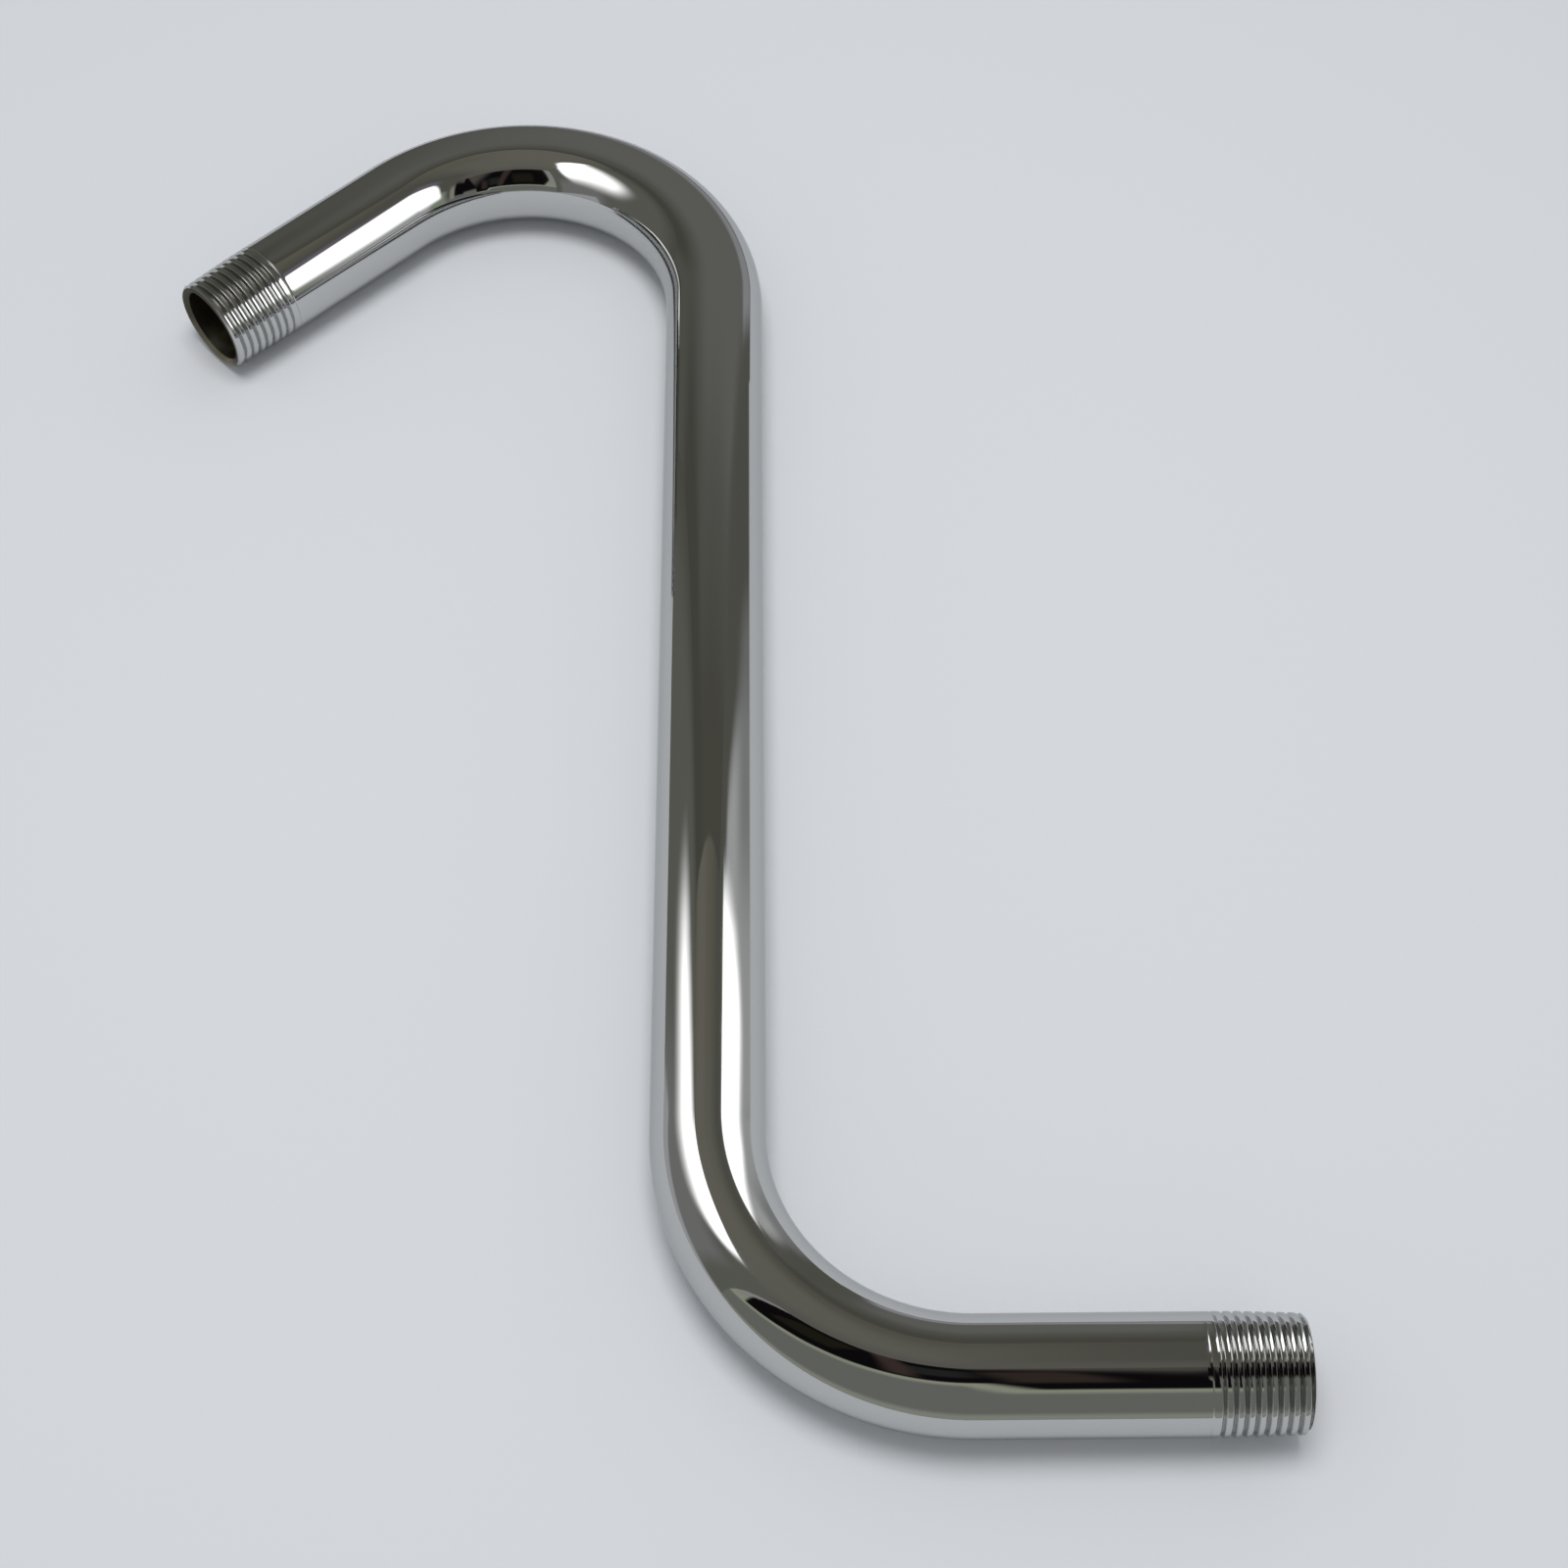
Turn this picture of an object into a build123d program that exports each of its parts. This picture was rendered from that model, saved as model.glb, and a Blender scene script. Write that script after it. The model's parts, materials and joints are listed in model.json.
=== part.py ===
from build123d import *
import os

# Shower arm: one chrome-plated tube bent into an S, with a tapered male pipe thread at each end.
# It lies flat, as it comes to rest on a table. Seen from above, the wall leg points to +X, the
# riser runs along +Y, and the head leg comes back down on the -X side. Millimetres and degrees.

# Tube
tube_diameter = 20.6
tube_wall = 2.2

# Straight runs and bends of the centre line, in order from the wall end
wall_leg = 55.0
wall_bend_radius = 44.5
wall_bend_turn = 90.0
riser = 195.0
head_bend_radius = 42.0
head_bend_turn = 133.0
head_leg = 51.0

# Threaded ends: blanks at the crests of the thread, which further in are level with the tube
taper_length = 11.4
taper = 1 / 16  # loss of diameter for each millimetre towards the tip, as on any pipe thread
tip_chamfer = 0.5
bore_chamfer = 0.25

# Worked out from the sizes above
tube_radius = tube_diameter / 2
bore_radius = tube_radius - tube_wall


def centre_line():
    """Plain part of the tube, from taper to taper: straight runs joined by tangent arcs."""
    wall_run = Line((wall_leg - taper_length, 0), (0, 0))
    wall_bend = JernArc(wall_run @ 1, wall_run % 1, wall_bend_radius, -wall_bend_turn)
    riser_run = PolarLine(wall_bend @ 1, riser, direction=wall_bend % 1)
    head_bend = JernArc(riser_run @ 1, riser_run % 1, head_bend_radius, head_bend_turn)
    head_run = PolarLine(head_bend @ 1, head_leg - taper_length, direction=head_bend % 1)
    return wall_run + wall_bend + riser_run + head_bend + head_run


def tapered_end():
    """Turned blank of a threaded end: it starts on the plain tube at Z = 0 and narrows to its tip."""
    tip = taper_length
    shoulder = tip - tip_chamfer
    shoulder_radius = tube_radius - shoulder * taper / 2
    outline = Polyline(
        (bore_radius, 0),
        (tube_radius, 0),
        (shoulder_radius, shoulder),
        (shoulder_radius - tip_chamfer, tip),
        (bore_radius + bore_chamfer, tip),
        (bore_radius, tip - bore_chamfer),
        close=True,
    )
    return revolve(Plane.XZ * make_face(outline), Axis.Z)


def arm_tube():
    """The whole arm as one solid: the bent tube with a tapered blank at each end."""
    path = centre_line()
    wall_end = Plane(path @ 0, z_dir=-(path % 0))
    head_end = Plane(path @ 1, z_dir=path % 1)
    ring = Circle(tube_radius) - Circle(bore_radius)
    return sweep(wall_end * ring, path) + wall_end * tapered_end() + head_end * tapered_end()


def lay_down(part):
    """Puts the middle of the part's underside at the origin."""
    box = part.bounding_box()
    return Pos(-box.center().X, -box.center().Y, -box.min.Z) * part


os.makedirs("parts", exist_ok=True)
export_step(lay_down(arm_tube()), "parts/arm_tube.step")
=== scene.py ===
import json
import math
import bmesh
import bpy
import numpy as np
from mathutils import Matrix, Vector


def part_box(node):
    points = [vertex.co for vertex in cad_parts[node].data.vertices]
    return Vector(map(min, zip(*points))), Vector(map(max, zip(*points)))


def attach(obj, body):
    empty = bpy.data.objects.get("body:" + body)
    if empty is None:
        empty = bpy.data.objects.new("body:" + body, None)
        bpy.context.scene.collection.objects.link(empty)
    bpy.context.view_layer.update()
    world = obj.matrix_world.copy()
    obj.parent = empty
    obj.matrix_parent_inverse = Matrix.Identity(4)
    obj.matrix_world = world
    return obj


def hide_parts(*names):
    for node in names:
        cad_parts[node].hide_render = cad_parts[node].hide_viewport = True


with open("model.json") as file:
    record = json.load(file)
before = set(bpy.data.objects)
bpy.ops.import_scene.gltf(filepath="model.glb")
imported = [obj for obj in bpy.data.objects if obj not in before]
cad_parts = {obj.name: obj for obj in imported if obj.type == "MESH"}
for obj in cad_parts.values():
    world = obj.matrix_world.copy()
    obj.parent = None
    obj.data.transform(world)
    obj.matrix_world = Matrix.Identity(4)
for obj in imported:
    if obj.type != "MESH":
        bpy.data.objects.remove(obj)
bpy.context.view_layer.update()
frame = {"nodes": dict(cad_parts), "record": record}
print("frame loaded, nodes:", ", ".join(sorted(frame["nodes"])))

# Bent tube: the CAD model's sizes in metres, in order from the wall end
arm = {
    "wallLeg": 0.055,
    "wallBendRadius": 0.0445,
    "wallBendTurn": -90.0,  # degrees, a turn to the left is positive
    "riser": 0.195,
    "headBendRadius": 0.042,
    "headBendTurn": 133.0,
    "headLeg": 0.051,
    "wall": 0.0022,
    "boreChamfer": 0.00075,  # wider than on the CAD model, as the photo shows it
    "columns": 144,  # facets round the tube
    "runStep": 0.006,  # distance between rings on a straight run
    "bendStep": 2.0,  # degrees between rings in a bend
    "boreStep": 2.0,  # the bore's rings are this much further apart
    "mergeDistance": 1e-6,  # points of neighbouring patches closer than this become one
    "sharpAngle": 35.0,  # degrees between faces, above which an edge is shaded sharp
}

# Tapered pipe thread on both ends, cut as one V groove by a die
thread = {
    "pitch": 0.001814,
    "turns": 8,  # at full depth
    "runOutTurns": 2,  # further in, the groove climbs out over these turns
    "taperLength": 0.0114,  # from the tip to where the cone would reach the tube's surface
    "taper": 1 / 16,  # loss of diameter for each unit of length
    "tipChamfer": 0.0005,
    "tipRings": 8,
    "depth": 0.00087,  # of the sharp V, below the taper's cone
    "flankAngle": 30.0,  # degrees between a flank and the radius
    "rootRound": 0.00009,
    "crestRound": 0.00015,  # the plating rounds the edges of the crests
    "rootShares": (0.33, 0.8, 2.0),  # points of the profile, in root roundings from its middle
    "crestShares": (-1, -0.33, 0.33, 1),  # and in crest roundings from the edge of the groove
    "spareTurns": 3,  # wound on past both ends and cut off square
    "wallPhase": 0.0611,  # turns by which the groove is wound on
    "headPhase": 0.0389,
}
threadLength = (thread["turns"] + thread["runOutTurns"]) * thread["pitch"]

tubeLow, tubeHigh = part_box("arm_tube")
tubeRadius = (tubeHigh.z - tubeLow.z) / 2
boreRadius = tubeRadius - arm["wall"]
axisHeight = tubeLow.z + tubeRadius
mounts = {mount["name"]: mount for mount in frame["record"]["mounts"]}
wallTip = np.array(mounts["wall_thread"]["pos_m"][:2])
wallAxis = mounts["wall_thread"]["axis"]
firstHeading = math.atan2(-wallAxis[1], -wallAxis[0])  # from the wall tip into the arm


def arcStep(heading, turn, length):
    # move along an even bend: the chord, length * sin(turn/2) / (turn/2), at the mean heading
    chord = length * np.sinc(turn / (2 * np.pi))
    middle = heading + turn / 2
    return np.stack([chord * np.cos(middle), chord * np.sin(middle)], axis=-1)


def centreRuns():
    # lengths and turns of the straight runs and bends
    wallTurn = math.radians(arm["wallBendTurn"])
    headTurn = math.radians(arm["headBendTurn"])
    wallBend = arm["wallBendRadius"] * abs(wallTurn)
    headBend = arm["headBendRadius"] * abs(headTurn)
    lengths = np.array([arm["wallLeg"], wallBend, arm["riser"], headBend, arm["headLeg"]])
    return lengths, np.array([0, wallTurn, 0, headTurn, 0])


runLengths, runTurns = centreRuns()
runStarts = np.concatenate([[0], np.cumsum(runLengths)[:-1]])
runHeadings = firstHeading + np.concatenate([[0], np.cumsum(runTurns)[:-1]])
runSteps = arcStep(runHeadings, runTurns, runLengths)
runPoints = wallTip + np.concatenate([np.zeros((1, 2)), np.cumsum(runSteps, axis=0)[:-1]])
tubeLength = runLengths.sum()


def tubePoints(along, angle, radius):
    # a circle carried along the centre line: centre + radius * (cos * left + sin * up)
    run = np.clip(np.searchsorted(runStarts, along, side="right") - 1, 0, len(runStarts) - 1)
    inRun = along - runStarts[run]
    turn = runTurns[run] * inRun / runLengths[run]
    centre = runPoints[run] + arcStep(runHeadings[run], turn, inRun)
    heading = runHeadings[run] + turn
    left = radius * np.cos(angle)
    x = centre[..., 0] - left * np.sin(heading)
    y = centre[..., 1] + left * np.cos(heading)
    z = axisHeight + radius * np.sin(angle)
    return np.stack([x, y, z], axis=-1)


def straightened(along, angle, radius):
    # the same point on the arm as if it were never bent
    return np.stack([radius * np.cos(angle), radius * np.sin(angle), along], axis=-1)


def ringStations(start, end, spread=1.0):
    # distances of the rings from start to end, closer together in the bends
    stations = [np.array([start, end])]
    for first, length, turn in zip(runStarts, runLengths, runTurns):
        bendCount = abs(math.degrees(turn)) / (arm["bendStep"] * spread)
        runCount = length / (arm["runStep"] * spread)
        count = math.ceil(bendCount if turn else runCount)
        stations.append(first + length * np.arange(count + 1) / count)
    found = np.unique(np.round(np.concatenate(stations), 7))  # the same to 0.1 micrometres
    return found[(found >= start) & (found <= end)]


flankSlope = math.tan(math.radians(thread["flankAngle"]))


def coneRadius(fromTip):
    # cone of the taper, which further in lies outside the tube
    return tubeRadius - (thread["taperLength"] - fromTip) * thread["taper"] / 2


def crestRadius(fromTip):
    # tube and cone before the groove is cut
    return np.minimum(coneRadius(fromTip), tubeRadius)


def grooveBottom(middle):
    # sharp bottom of the V, at its depth below the cone and then climbing out
    climb = (middle / thread["pitch"] - thread["turns"]) / thread["runOutTurns"]
    return coneRadius(middle) - thread["depth"] * (1 - np.clip(climb, 0, 1))


def threadRadius(fromTip, turns):
    # chamfered crests less the V groove, which moves one pitch from the tip for each turn
    # flanks rise as a hyperbola from the root, and a parabola rounds them off at the crests
    pitch = thread["pitch"]
    across = ((fromTip / pitch - turns + 0.5) % 1 - 0.5) * pitch
    flank = grooveBottom(fromTip - across) + np.hypot(across, thread["rootRound"]) / flankSlope
    chamfer = coneRadius(thread["tipChamfer"]) - thread["tipChamfer"] + fromTip
    blank = np.minimum(crestRadius(fromTip), chamfer)
    inside = blank - flank
    soft = thread["crestRound"]
    rounded = np.clip(inside + soft, 0, 2 * soft) ** 2 / (4 * soft)
    return blank - rounded - np.maximum(inside - soft, 0)


def endAngles(steps, side):
    # angle round the tube of each step, wound the other way at the head end
    return side * 2 * np.pi * (steps % arm["columns"]) / arm["columns"]


def threadPatch(side, phase):
    # groove's cross-section carried along a helix, cut off square at the chamfer and at the tube
    pitch = thread["pitch"]
    turnCount = math.ceil(threadLength / pitch) + thread["spareTurns"]
    steps = np.arange(turnCount * arm["columns"] + 1)
    middle = pitch * (steps / arm["columns"] - 1 + phase % 1)
    root = thread["rootRound"]
    bevel = thread["crestRound"] * flankSlope
    edge = (crestRadius(middle) - grooveBottom(middle)) * flankSlope
    oneSide = [np.full_like(edge, root * share) for share in thread["rootShares"]]
    flankFoot = oneSide[-1]
    oneSide += [np.maximum(edge + bevel * share, flankFoot) for share in thread["crestShares"]]
    oneSide.append(np.full_like(edge, pitch / 2))
    profile = [-offset for offset in reversed(oneSide)] + [np.zeros_like(edge)] + oneSide
    fromTip = middle[:, None] + np.stack(profile, axis=-1)
    fromTip = np.clip(fromTip, thread["tipChamfer"], threadLength)
    turns = (steps % arm["columns"] / arm["columns"])[:, None] + phase
    radius = threadRadius(fromTip, turns)
    along = fromTip if side > 0 else tubeLength - fromTip
    angle = np.broadcast_to(endAngles(steps, side)[:, None], along.shape)
    return along, angle, radius


def tubePatch():
    # plain outside of the tube between the threads
    stations = ringStations(threadLength, tubeLength - threadLength)
    angles = endAngles(np.arange(arm["columns"] + 1), 1)
    along, angle = np.meshgrid(stations, angles)
    return along, angle, np.full_like(along, tubeRadius)


def tipRows(side, phase):
    # rings from the chamfer's edge over the end face and into the bore's mouth
    steps = np.arange(arm["columns"] + 1)
    turns = steps % arm["columns"] / arm["columns"] * side + phase
    fromTip = np.linspace(thread["tipChamfer"], 0, thread["tipRings"])
    radius = threadRadius(fromTip[:, None], turns[None, :])
    mouth = np.full((1, len(steps)), boreRadius + arm["boreChamfer"])
    throat = np.full((1, len(steps)), boreRadius)
    fromTip = np.concatenate([fromTip, [0, arm["boreChamfer"]]])
    radius = np.concatenate([radius, mouth, throat])
    along = fromTip if side > 0 else tubeLength - fromTip
    return along, radius


def insidePatch():
    # from one thread's tip over its end face, through the bore and out to the other tip
    wallAlong, wallRadius = tipRows(1, thread["wallPhase"])
    headAlong, headRadius = tipRows(-1, thread["headPhase"])
    margin = arm["boreChamfer"]
    stations = ringStations(margin, tubeLength - margin, arm["boreStep"])[1:-1]
    boreRows = np.full((len(stations), arm["columns"] + 1), boreRadius)
    along = np.concatenate([wallAlong, stations, headAlong[::-1]])
    radius = np.concatenate([wallRadius, boreRows, headRadius[::-1]])
    angle = endAngles(np.arange(arm["columns"] + 1), 1)
    along, angle = np.meshgrid(along, angle, indexing="ij")
    return along, angle, radius


def gridFaces(rows, columns, first):
    # quads of a grid of points, numbered row by row
    corner = np.arange(rows * columns).reshape(rows, columns) + first
    quads = [corner[:-1, :-1], corner[1:, :-1], corner[1:, 1:], corner[:-1, 1:]]
    return np.stack(quads, axis=-1).reshape(-1, 4)


def meshFromPatches(name, patches):
    # one closed mesh: the patches meet at equal points, which are merged
    points, laidOut, faces = [], [], []
    count = 0
    for along, angle, radius in patches:
        points.append(tubePoints(along, angle, radius).reshape(-1, 3))
        laidOut.append(straightened(along, angle, radius).reshape(-1, 3))
        faces.append(gridFaces(*along.shape, count))
        count += along.size
    mesh = bpy.data.meshes.new(name)
    mesh.from_pydata(np.concatenate(points), [], np.concatenate(faces))
    layer = mesh.attributes.new("straightened", "FLOAT_VECTOR", "POINT")
    layer.data.foreach_set("vector", np.concatenate(laidOut).astype(np.float32).ravel())
    shape = bmesh.new()
    shape.from_mesh(mesh)
    bmesh.ops.remove_doubles(shape, verts=shape.verts, dist=arm["mergeDistance"])
    shape.to_mesh(mesh)
    shape.free()
    mesh.shade_smooth()
    mesh.set_sharp_from_angle(angle=math.radians(arm["sharpAngle"]))
    return mesh


def meshFlaws(mesh):
    # edges that don't join exactly two faces, and the enclosed volume
    shape = bmesh.new()
    shape.from_mesh(mesh)
    openEdges = sum(not edge.is_manifold for edge in shape.edges)
    volume = shape.calc_volume(signed=True)
    shape.free()
    return openEdges, volume


armPatches = [
    tubePatch(),
    threadPatch(1, thread["wallPhase"]),
    threadPatch(-1, thread["headPhase"]),
    insidePatch(),
]
armMesh = meshFromPatches("chromeArm", armPatches)
chromeArm = bpy.data.objects.new("chromeArm", armMesh)
bpy.context.scene.collection.objects.link(chromeArm)
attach(chromeArm, "root")
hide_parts("arm_tube")
openEdges, volume = meshFlaws(armMesh)
triangles = sum(len(face.vertices) - 2 for face in armMesh.polygons)
print(f"arm: {triangles} triangles, {openEdges} open edges, {volume * 1e9:.0f} cubic mm")


class Value:
    # a socket in a node tree: sums on it add Math nodes
    def __init__(self, tree, socket=None):
        self.tree = tree
        self.socket = socket

    def node(self, kind, settings=None, sockets=None, output=0):
        made = self.tree.nodes.new(kind)
        for name, value in (settings or {}).items():
            setattr(made, name, value)
        for name, value in (sockets or {}).items():
            if isinstance(value, Value):
                self.tree.links.new(value.socket, made.inputs[name])
            else:
                made.inputs[name].default_value = value
        return Value(self.tree, made.outputs[output] if made.outputs else None)

    def maths(self, operation, first, second):
        return self.node("ShaderNodeMath", {"operation": operation}, {0: first, 1: second})

    def __add__(self, other):
        return self.maths("ADD", self, other)

    def __radd__(self, other):
        return self.maths("ADD", other, self)

    def __sub__(self, other):
        return self.maths("SUBTRACT", self, other)

    def __rsub__(self, other):
        return self.maths("SUBTRACT", other, self)

    def __mul__(self, other):
        return self.maths("MULTIPLY", self, other)

    def __rmul__(self, other):
        return self.maths("MULTIPLY", other, self)

    def __pow__(self, other):
        return self.maths("POWER", self, other)

    def __rpow__(self, other):
        return self.maths("POWER", other, self)

    def least(self, other):
        return self.maths("MINIMUM", self, other)

    def most(self, other):
        return self.maths("MAXIMUM", self, other)

    def smooth(self, low, high):
        # 0 at low and 1 at high, with an S-shaped rise between
        limits = {"Value": self, "From Min": low, "From Max": high}
        return self.node("ShaderNodeMapRange", {"interpolation_type": "SMOOTHSTEP"}, limits)

    def mix(self, colourA, colourB):
        return self.node("ShaderNodeMix", {"data_type": "RGBA"}, {0: self, 6: colourA, 7: colourB}, 2)

    def axes(self):
        return [self.node("ShaderNodeSeparateXYZ", None, {0: self}, axis) for axis in range(3)]

    def scaled(self, factors):
        return self.node("ShaderNodeVectorMath", {"operation": "MULTIPLY"}, {0: self, 1: factors})

    def noise(self, scale, detail=2.0):
        sockets = {"Vector": self, "Scale": scale, "Detail": detail}
        return self.node("ShaderNodeTexNoise", None, sockets)

    def bump(self, distance, under=None):
        sockets = {"Strength": 1.0, "Distance": distance, "Height": self}
        if under:
            sockets["Normal"] = under
        return self.node("ShaderNodeBump", None, sockets)


def newMaterial(name):
    # a material with an empty node tree, and the value that its nodes start from
    material = bpy.data.materials.new(name)
    material.use_nodes = True
    material.node_tree.nodes.clear()
    return material, Value(material.node_tree)


def principled(start, sockets):
    shader = start.node("ShaderNodeBsdfPrincipled", None, sockets)
    start.node("ShaderNodeOutputMaterial", None, {"Surface": shader})


# Polished plating outside, and bare brass on the end faces and in the bore
chrome = {
    "colour": (0.55, 0.555, 0.55, 1),
    "edgeTint": (0.75, 0.755, 0.76, 1),  # darkens what is mirrored at a glance
    # painted shade: colour of the thread's grooves
    "grooveShadeColour": (0.43, 0.435, 0.43, 1),
    "pitColour": (0.33, 0.33, 0.32, 1),
    "brassColour": (0.085, 0.078, 0.058, 1),
    # painted light: bright tan of the bare brass near the ground
    "paintedLitBrassColour": (0.36, 0.335, 0.265, 1),
    "deepColour": (0.13, 0.095, 0.05, 1),
    "roughness": 0.03,
    "smudge": 0.05,  # added roughness where it was touched
    "smudgeScale": 45.0,
    "smudgeRange": (0.5, 0.75),  # of its noise
    "grooveRoughness": 0.1,
    "grooveRange": (0.2, 0.9),  # of the thread's depth
    "brassRoughness": 0.4,
    "ripples": 0.00002,  # height of the long ripples left by polishing
    "rippleScale": 70.0,
    "polishLines": 0.0000012,  # height of the fine lines along the tube
    "lineScale": (1800.0, 1800.0, 25.0),
    "pitScale": 38.0,  # cells in a metre, of which some hold a pit
    "pitRange": (0.035, 0.008),  # edge and middle of a pit, in cells
    "pitShare": (0.72, 0.74),  # cells whose random number is above this hold one
    "pitStrength": 0.6,
    "pitRoughness": 0.1,
    "boreEdge": 1.3,  # plating ends at this many widths of the bore's chamfer
    "faceRange": (0.00015, 0.00005),  # plating ends this close to the tip
    "mouthDepth": 0.006,  # brass is clean this far into the bore
    "mouthScale": 400.0,  # of the noise in where it ends
    "paintedLightHeights": (0.0075, 0.001),  # heights where the painted light on the bare brass starts and is full
    "paintedLightNoise": 0.004,  # its edge wanders by this
    "paintedLightScale": 300.0,
}


def chromeFinish():
    material, start = newMaterial("polishedChrome")
    place = start.node("ShaderNodeTexCoord", None, None, "Object")
    laidOut = start.node("ShaderNodeAttribute", {"attribute_name": "straightened"}, None, "Vector")
    across, upward, along = laidOut.axes()
    radius = (across * across + upward * upward) ** 0.5
    fromTip = along.least(tubeLength - along)
    # bare brass: the end faces, cut after plating, and the bore, where it darkens unevenly
    chamfer = arm["boreChamfer"]
    inBore = radius.smooth(boreRadius + chamfer * chrome["boreEdge"], boreRadius + chamfer)
    bare = inBore.most(fromTip.smooth(*chrome["faceRange"]))
    mouthNoise = place.noise(chrome["mouthScale"]) - 0.5
    deep = (fromTip + mouthNoise * chrome["mouthDepth"]).smooth(0.0, chrome["mouthDepth"])
    # painted light: the bare brass is painted dark higher up and bright tan near the ground, standing
    # in for the light it catches from below
    paintedLightNoise = place.noise(chrome["paintedLightScale"]) - 0.5
    height = place.axes()[2] + paintedLightNoise * chrome["paintedLightNoise"]
    paintedLight = height.smooth(*chrome["paintedLightHeights"])
    brassWithPaintedLight = paintedLight.mix(chrome["brassColour"], chrome["paintedLitBrassColour"])
    brassWithPaintedLight = deep.mix(brassWithPaintedLight, chrome["deepColour"])
    # groove: below the crests of the thread, where the colour is painted darker as painted shade in
    # the recesses, and the plating is rougher
    taperLeft = (thread["taperLength"] - fromTip).most(0.0)
    crest = tubeRadius - taperLeft * (thread["taper"] / 2)
    grooveTop, grooveLow = [thread["depth"] * share for share in chrome["grooveRange"]]
    groove = (crest - radius).smooth(grooveTop, grooveLow) * (1 - inBore)
    # smudges, and a few pits in the plating
    smudge = place.noise(chrome["smudgeScale"], detail=3.0).smooth(*chrome["smudgeRange"])
    cells = {"Vector": laidOut, "Scale": chrome["pitScale"]}
    cellDistance = start.node("ShaderNodeTexVoronoi", None, cells, "Distance")
    cellColour = start.node("ShaderNodeTexVoronoi", None, cells, "Color")
    chosen = cellColour.axes()[0].smooth(*chrome["pitShare"])
    pit = cellDistance.smooth(*chrome["pitRange"]) * chosen
    colour = groove.mix(chrome["colour"], chrome["grooveShadeColour"])
    colour = (pit * chrome["pitStrength"]).mix(colour, chrome["pitColour"])
    colour = bare.mix(colour, brassWithPaintedLight)
    roughness = smudge * chrome["smudge"] + chrome["roughness"]
    roughness = roughness + groove * chrome["grooveRoughness"] + pit * chrome["pitRoughness"]
    roughness = roughness + bare * chrome["brassRoughness"]
    # fine polishing lines over long ripples
    lines = laidOut.scaled(chrome["lineScale"]).noise(1.0, detail=1.0)
    ripples = place.noise(chrome["rippleScale"], detail=1.0)
    normal = lines.bump(chrome["polishLines"], ripples.bump(chrome["ripples"]))
    sockets = {
        "Base Color": colour,
        "Metallic": 1.0,
        "Roughness": roughness,
        "Specular Tint": chrome["edgeTint"],
        "Normal": normal,
    }
    principled(start, sockets)
    return material


armMesh.materials.append(chromeFinish())
print("materials: polishedChrome")

# Light tent that the chrome mirrors: five cloth walls, seen in reflections only
tent = {
    "low": (-0.19, -0.198, 0.0),
    "high": (0.175, 0.215, 0.43),
    "panel": (2.6, 2.6, 2.6),  # lit diffuser
    "dark": (0.006, 0.005, 0.006),  # open front
}

# Each patch of a wall has edges, from one point to another with a softness, and lies to their left
# A point is in metres along the wall's own two axes, in the order X, Y, Z
tentLeft = {
    "axis": 0,
    "end": "low",
    "cloth": (0.155, 0.158, 0.137),
    "patches": [
        {
            "colour": (0.107, 0.11, 0.087),
            "edges": [((0.185, 0.5), (0.185, 0.0), 0.07)],
        },
        {
            "colour": (0.235, 0.238, 0.232),
            "edges": [
                ((0.05, 0.19), (-0.25, 0.19), 0.14),
                ((0.02, 0.0), (0.02, 0.2), 0.04),
                ((-0.155, 0.3), (-0.155, 0.0), 0.03),
            ],
        },
        {
            "colour": (0.46, 0.47, 0.485),
            "edges": [
                ((0.0, 0.048), (-0.19, 0.01), 0.016),
                ((0.012, 0.0), (-0.005, 0.06), 0.012),
            ],
        },
        {
            "colour": tent["panel"],
            "edges": [
                ((-0.085, 0.43), (-0.105, 0.3), 0.04),
                ((-0.105, 0.3), (-0.085, 0.19), 0.04),
                ((-0.1, 0.225), (0.05, 0.143), 0.15),
                ((0.06, 0.11), (0.115, 0.2), 0.06),
                ((0.098, 0.1), (0.098, 0.43), 0.09),
            ],
        },
    ],
}
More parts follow.
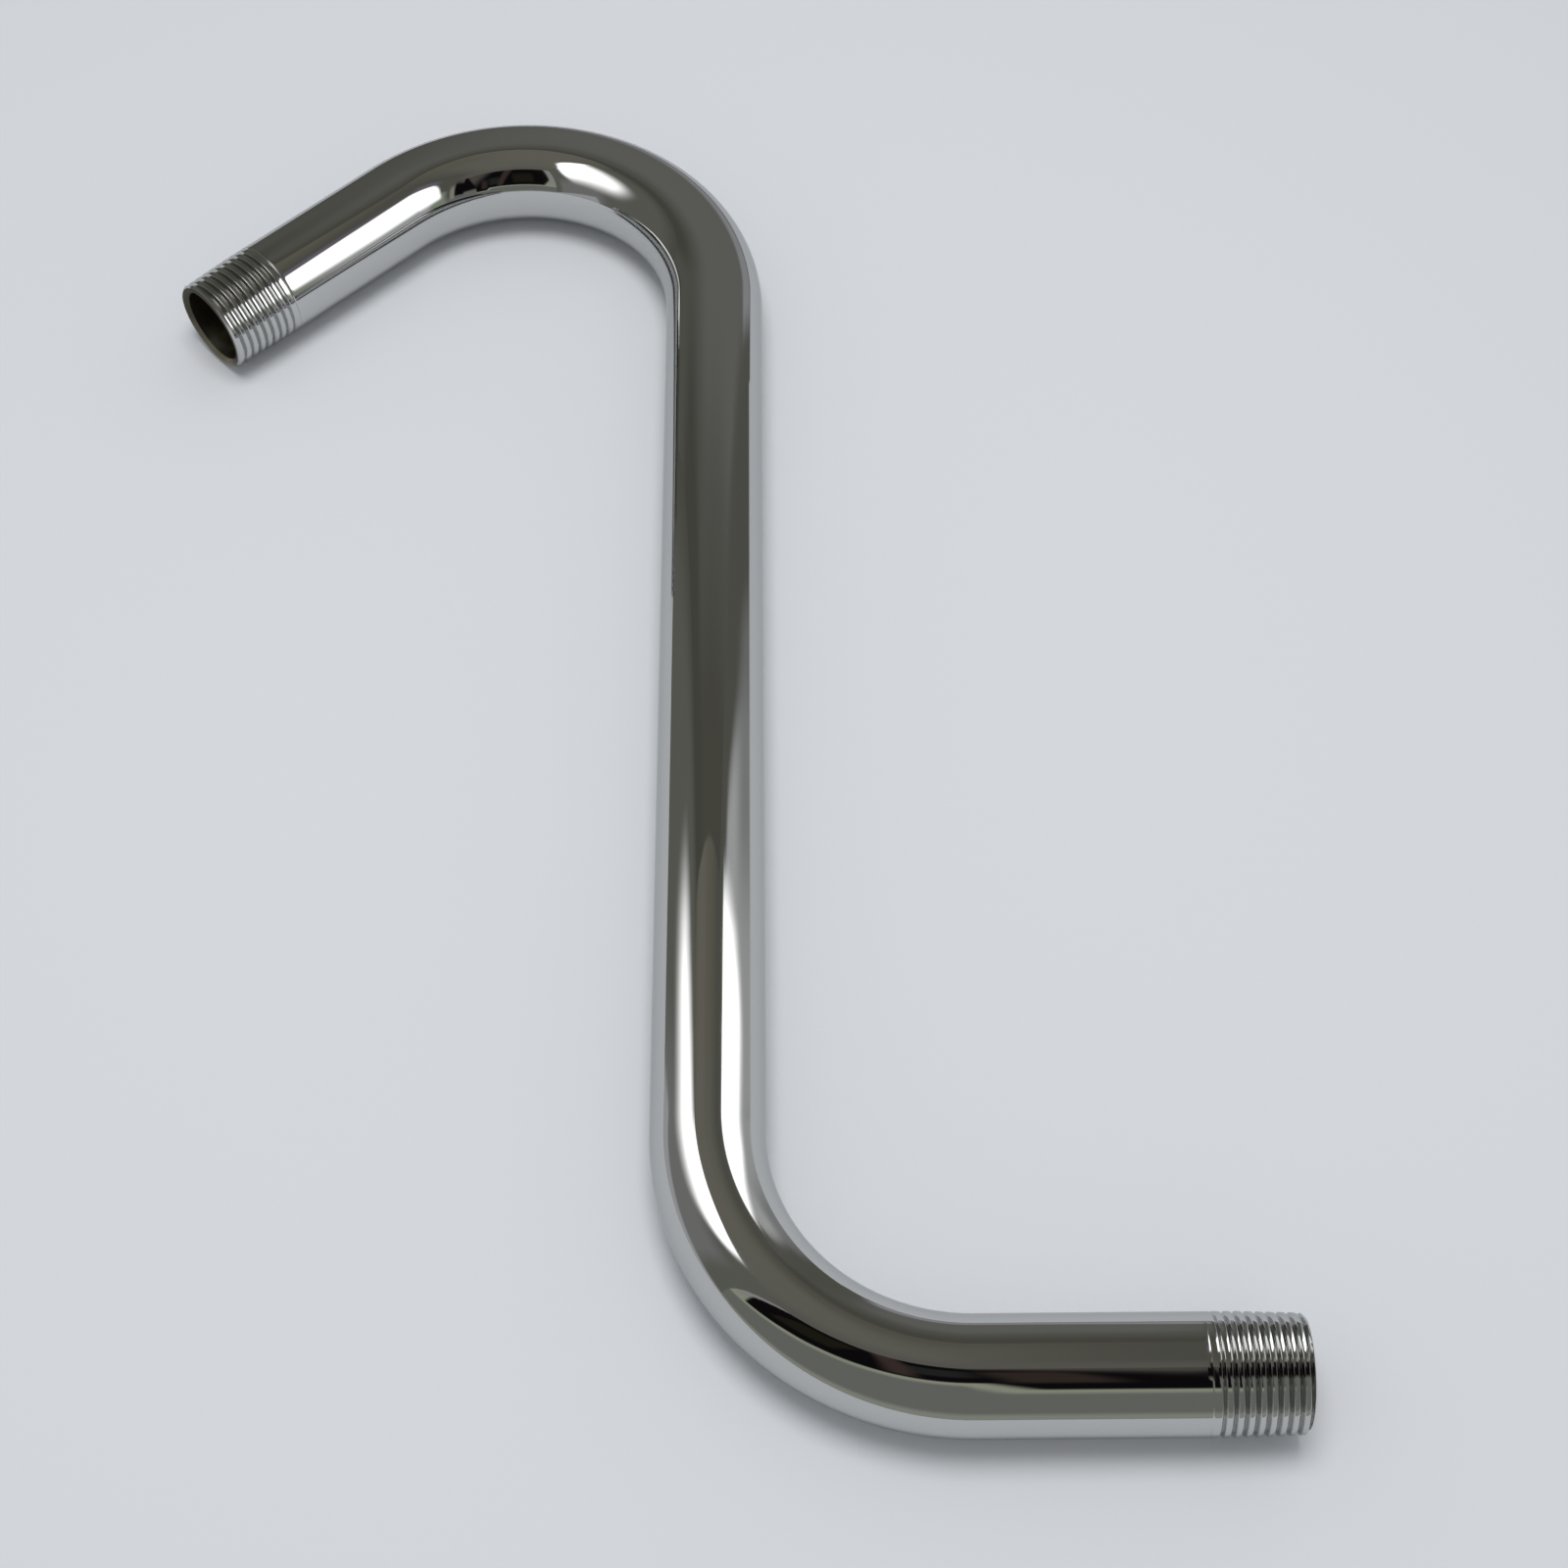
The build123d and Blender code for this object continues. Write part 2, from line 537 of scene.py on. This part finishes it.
tentRight = {
    "axis": 0,
    "end": "high",
    "cloth": (0.122, 0.122, 0.104),
    "patches": [
        {
            "colour": (0.22, 0.225, 0.222),
            "edges": [
                ((0.135, 0.0), (0.135, 0.5), 0.03),
                ((0.25, 0.085), (-0.25, 0.085), 0.1),
            ],
        },
        {
            "colour": (0.34, 0.33, 0.27),
            "edges": [
                ((-0.134, 0.5), (-0.134, 0.0), 0.01),
                ((-0.11, 0.0), (-0.11, 0.5), 0.016),
                ((-0.3, 0.07), (0.3, 0.07), 0.05),
                ((0.3, 0.26), (-0.3, 0.26), 0.12),
            ],
        },
        {
            "colour": tent["dark"],
            "edges": [
                ((-0.138, 0.0), (-0.138, 0.5), 0.01),
                ((-0.3, 0.11), (0.3, 0.11), 0.02),
                ((0.3, 0.34), (-0.3, 0.34), 0.1),
            ],
        },
        {
            "colour": (0.185, 0.165, 0.205),
            "edges": [
                ((-0.02, 0.5), (-0.02, 0.0), 0.06),
                ((0.09, 0.0), (0.09, 0.5), 0.04),
                ((-0.3, 0.31), (0.3, 0.31), 0.06),
            ],
        },
        {
            "colour": (0.3, 0.345, 0.265),
            "edges": [
                ((-0.088, 0.4), (-0.088, 0.0), 0.03),
                ((0.0, 0.0), (0.0, 0.4), 0.04),
                ((-0.1, 0.035), (0.1, 0.035), 0.05),
                ((0.3, 0.2), (-0.3, 0.2), 0.06),
            ],
        },
        {
            "colour": (0.3, 0.305, 0.302),
            "edges": [
                ((-0.02, 0.4), (-0.02, 0.0), 0.02),
                ((0.1, 0.0), (0.13, 0.2), 0.03),
                ((0.3, 0.25), (-0.3, 0.25), 0.08),
            ],
        },
        {
            "colour": (0.47, 0.48, 0.478),
            "edges": [
                ((-0.02, 0.4), (-0.02, 0.0), 0.02),
                ((0.04, 0.0), (0.07, 0.2), 0.05),
                ((0.3, 0.25), (-0.3, 0.25), 0.08),
            ],
        },
        {
            "colour": (0.6, 0.61, 0.61),
            "edges": [
                ((-0.03, 0.4), (-0.03, 0.0), 0.02),
                ((0.3, 0.009), (-0.3, 0.009), 0.008),
            ],
        },
        {
            "colour": (0.53, 0.535, 0.535),
            "edges": [
                ((-0.02, 0.4), (-0.02, 0.0), 0.02),
                ((-0.3, 0.1), (0.3, 0.1), 0.1),
                ((0.105, 0.1), (0.13, 0.22), 0.03),
                ((0.3, 0.24), (-0.3, 0.24), 0.07),
            ],
        },
        {
            "colour": tent["panel"],
            "edges": [
                ((-0.043, 0.28), (-0.066, 0.14), 0.024),
                ((0.0, 0.365), (-0.043, 0.28), 0.03),
                ((-0.075, 0.145), (0.0, 0.07), 0.06),
                ((-0.2, 0.085), (0.2, 0.085), 0.1),
                ((0.04, 0.1), (0.12, 0.25), 0.035),
                ((0.12, 0.25), (0.16, 0.32), 0.03),
                ((0.15, 0.3), (0.06, 0.335), 0.05),
                ((0.3, 0.35), (-0.3, 0.35), 0.06),
            ],
        },
    ],
}
tentFront = {
    "axis": 1,
    "end": "low",
    "cloth": (0.2, 0.205, 0.19),
    "patches": [
        {
            "colour": (0.33, 0.35, 0.3),
            "edges": [((0.3, 0.012), (-0.3, 0.012), 0.01)],
        },
        {
            "colour": (0.38, 0.4, 0.31),
            "edges": [
                ((-0.3, 0.086), (0.3, 0.086), 0.014),
                ((0.112, 0.0), (0.112, 0.5), 0.01),
            ],
        },
        {
            "colour": (0.36, 0.36, 0.34),
            "edges": [
                ((-0.16, 0.0), (-0.16, 0.5), 0.01),
                ((-0.3, 0.12), (0.3, 0.12), 0.08),
            ],
        },
        {
            "colour": (0.38, 0.4, 0.31),
            "edges": [
                ((0.048, 0.1), (0.064, 0.05), 0.008),
                ((-0.3, 0.058), (0.3, 0.058), 0.012),
                ((0.112, 0.0), (0.112, 0.5), 0.01),
            ],
        },
        {
            "colour": tent["dark"],
            "edges": [
                ((-0.166, 0.5), (-0.166, 0.19), 0.01),
                ((-0.166, 0.19), (-0.14, 0.09), 0.01),
                ((-0.3, 0.1), (0.3, 0.1), 0.008),
                ((0.112, 0.0), (0.112, 0.5), 0.01),
            ],
        },
        {
            "colour": tent["dark"],
            "edges": [
                ((0.054, 0.12), (0.07, 0.06), 0.008),
                ((-0.3, 0.069), (0.3, 0.069), 0.008),
                ((0.112, 0.0), (0.112, 0.5), 0.01),
            ],
        },
        {
            "colour": tent["dark"],
            "edges": [
                ((0.1, 0.5), (0.1, 0.0), 0.01),
                ((-0.3, 0.13), (0.3, 0.13), 0.05),
            ],
        },
        {
            "colour": (0.018, 0.016, 0.01),
            "edges": [
                ((-0.105, 0.5), (-0.105, 0.0), 0.008),
                ((-0.03, 0.0), (-0.03, 0.5), 0.01),
                ((-0.3, 0.14), (0.3, 0.14), 0.03),
                ((0.3, 0.31), (-0.3, 0.31), 0.1),
            ],
        },
        {
            "colour": (0.024, 0.026, 0.024),
            "edges": [
                ((0.01, 0.5), (0.01, 0.0), 0.02),
                ((0.06, 0.0), (0.06, 0.5), 0.03),
                ((-0.3, 0.14), (0.3, 0.14), 0.03),
                ((0.3, 0.26), (-0.3, 0.26), 0.08),
            ],
        },
        {
            "colour": (0.06, 0.042, 0.036),
            "edges": [
                ((-0.035, 0.43), (0.012, 0.11), 0.014),
                ((0.028, 0.11), (-0.005, 0.43), 0.014),
                ((-0.3, 0.11), (0.3, 0.11), 0.02),
            ],
        },
        {
            "colour": (0.045, 0.032, 0.028),
            "edges": [
                ((0.066, 0.3), (0.066, 0.0), 0.01),
                ((0.088, 0.0), (0.088, 0.3), 0.012),
                ((-0.3, 0.1), (0.3, 0.1), 0.02),
                ((0.3, 0.24), (-0.3, 0.24), 0.1),
            ],
        },
        {
            "colour": (0.105, 0.095, 0.084),
            "edges": [
                ((0.06, 0.43), (0.13, 0.16), 0.07),
                ((0.11, 0.15), (0.16, 0.43), 0.012),
            ],
        },
    ],
}
tentBack = {
    "axis": 1,
    "end": "high",
    "cloth": (0.128, 0.128, 0.112),
    "patches": [
        {
            "colour": (0.1, 0.097, 0.08),
            "edges": [((-0.3, 0.3), (0.3, 0.3), 0.12)],
        },
        {
            "colour": (0.088, 0.092, 0.074),
            "edges": [
                ((-0.11, 0.0), (-0.11, 0.5), 0.06),
                ((-0.3, 0.09), (0.3, 0.09), 0.08),
            ],
        },
        {
            "colour": (0.178, 0.178, 0.163),
            "edges": [
                ((-0.06, 0.3), (-0.06, 0.0), 0.08),
                ((0.15, 0.0), (0.15, 0.3), 0.04),
                ((0.3, 0.2), (-0.3, 0.2), 0.12),
            ],
        },
        {
            "colour": (0.36, 0.36, 0.38),
            "edges": [
                ((0.15, 0.056), (-0.06, 0.0), 0.018),
                ((0.15, 0.0), (0.15, 0.3), 0.02),
            ],
        },
        {
            "colour": (0.1, 0.1, 0.11),
            "edges": [((0.3, 0.004), (-0.3, 0.004), 0.004)],
        },
    ],
}
tentTop = {
    "axis": 2,
    "end": "high",
    "cloth": (0.178, 0.178, 0.15),
    "patches": [
        {
            "colour": (0.165, 0.158, 0.125),
            "edges": [((-0.3, 0.1), (0.3, 0.1), 0.12)],
        },
        {
            "colour": (0.118, 0.116, 0.098),
            "edges": [((0.09, 0.3), (0.09, -0.3), 0.14)],
        },
        {
            "colour": (0.158, 0.147, 0.13),
            "edges": [((0.3, -0.13), (-0.3, -0.13), 0.1)],
        },
        {
            "colour": (0.197, 0.18, 0.156),
            "edges": [
                ((-0.16, 0.3), (-0.16, -0.3), 0.05),
                ((-0.03, -0.3), (-0.03, 0.3), 0.08),
                ((-0.3, 0.0), (0.3, 0.0), 0.1),
            ],
        },
        {
            "colour": tent["panel"],
            "edges": [
                ((-0.19, -0.08), (-0.157, 0.0), 0.015),
                ((-0.157, 0.0), (-0.159, 0.04), 0.015),
                ((-0.159, 0.04), (-0.19, 0.12), 0.015),
            ],
        },
    ],
}


def patchMask(u, v, edges):
    # 1 inside the patch: the product of each edge's soft step in the distance to its left
    mask = 1.0
    for (fromU, fromV), (toU, toV), soft in edges:
        length = math.hypot(toU - fromU, toV - fromV)
        leftU = (fromV - toV) / length
        leftV = (toU - fromU) / length
        offset = leftU * fromU + leftV * fromV
        distance = u * leftU + v * leftV - offset
        mask = distance.smooth(-soft / 2, soft / 2) * mask
    return mask


def tentCloth(name, wall):
    # glow of one wall: its patches laid over the cloth, in order
    material, start = newMaterial(name)
    axes = start.node("ShaderNodeTexCoord", None, None, "Object").axes()
    u, v = [axes[axis] for axis in range(3) if axis != wall["axis"]]
    colour = (*wall["cloth"], 1)
    for patch in wall["patches"]:
        colour = patchMask(u, v, patch["edges"]).mix(colour, (*patch["colour"], 1))
    sockets = {
        "Base Color": (0, 0, 0, 1),
        "Specular IOR Level": 0.0,
        "Emission Color": colour,
        "Emission Strength": 1.0,
    }
    principled(start, sockets)
    return material


def hangWall(name, wall):
    # one flat side of the tent's box
    first, second = [axis for axis in range(3) if axis != wall["axis"]]
    corners = []
    for firstEnd, secondEnd in (("low", "low"), ("high", "low"), ("high", "high"), ("low", "high")):
        corner = list(tent[wall["end"]])
        corner[first] = tent[firstEnd][first]
        corner[second] = tent[secondEnd][second]
        corners.append(corner)
    mesh = bpy.data.meshes.new(name)
    mesh.from_pydata(corners, [], [(0, 1, 2, 3)])
    mesh.materials.append(tentCloth(name, wall))
    hung = bpy.data.objects.new(name, mesh)
    bpy.context.scene.collection.objects.link(hung)
    hung.visible_camera = False
    hung.visible_diffuse = False
    hung.visible_shadow = False
    hung.visible_transmission = False
    hung.visible_volume_scatter = False


hangWall("tentLeft", tentLeft)
hangWall("tentRight", tentRight)
hangWall("tentFront", tentFront)
hangWall("tentBack", tentBack)
hangWall("tentTop", tentTop)
print("tent: five walls")

# Floor, lamp and room
studio = {
    "floorHalf": 4.0,
    "floorColour": (0.77, 0.785, 0.81, 1),
    "floorRoughness": 0.9,
    "roomColour": (0.95, 0.97, 1.0, 1),
    "roomStrength": 0.45,
    "lampSize": 0.5,
    "lampPower": 4.6,
    "lampPlace": (0.0, 0.0, 1.0),
}


def makeFloor():
    half = studio["floorHalf"]
    mesh = bpy.data.meshes.new("floor")
    corners = [(-half, -half, 0), (half, -half, 0), (half, half, 0), (-half, half, 0)]
    mesh.from_pydata(corners, [], [(0, 1, 2, 3)])
    material, start = newMaterial("paleFloor")
    sockets = {
        "Base Color": studio["floorColour"],
        "Roughness": studio["floorRoughness"],
        "Specular IOR Level": 0.0,
    }
    principled(start, sockets)
    mesh.materials.append(material)
    floor = bpy.data.objects.new("floor", mesh)
    bpy.context.scene.collection.objects.link(floor)


def makeLamp():
    lamp = bpy.data.lights.new("overheadLamp", "AREA")
    lamp.shape = "DISK"
    lamp.size = studio["lampSize"]
    lamp.energy = studio["lampPower"]
    holder = bpy.data.objects.new("overheadLamp", lamp)
    bpy.context.scene.collection.objects.link(holder)
    holder.location = studio["lampPlace"]
    holder.visible_glossy = False  # the chrome mirrors the tent instead


def makeRoom():
    room = bpy.data.worlds.new("paleRoom")
    room.use_nodes = True
    background = room.node_tree.nodes["Background"]
    background.inputs["Color"].default_value = studio["roomColour"]
    background.inputs["Strength"].default_value = studio["roomStrength"]
    bpy.context.scene.world = room


makeFloor()
makeLamp()
makeRoom()
print("studio: floor, lamp and room")

# Camera where the photo was taken from
eye = {
    "location": (0.01993, -0.29917, 0.43413),
    "pitch": 56.92,  # degrees below the horizon
    "heading": 0.31,  # degrees from +Y towards +X
    "roll": -0.2,
    "lens": 61.08,
    "sensor": 36.0,
}


def makeCamera():
    data = bpy.data.cameras.new("photoView")
    data.lens = eye["lens"]
    data.sensor_width = eye["sensor"]
    camera = bpy.data.objects.new("photoView", data)
    bpy.context.scene.collection.objects.link(camera)
    heading = Matrix.Rotation(-math.radians(eye["heading"]), 4, "Z")
    pitch = Matrix.Rotation(math.radians(90 - eye["pitch"]), 4, "X")
    roll = Matrix.Rotation(math.radians(eye["roll"]), 4, "Z")
    camera.matrix_world = Matrix.Translation(eye["location"]) @ heading @ pitch @ roll
    bpy.context.scene.camera = camera


makeCamera()
bpy.context.scene.view_settings.view_transform = "Standard"
print("camera: set")
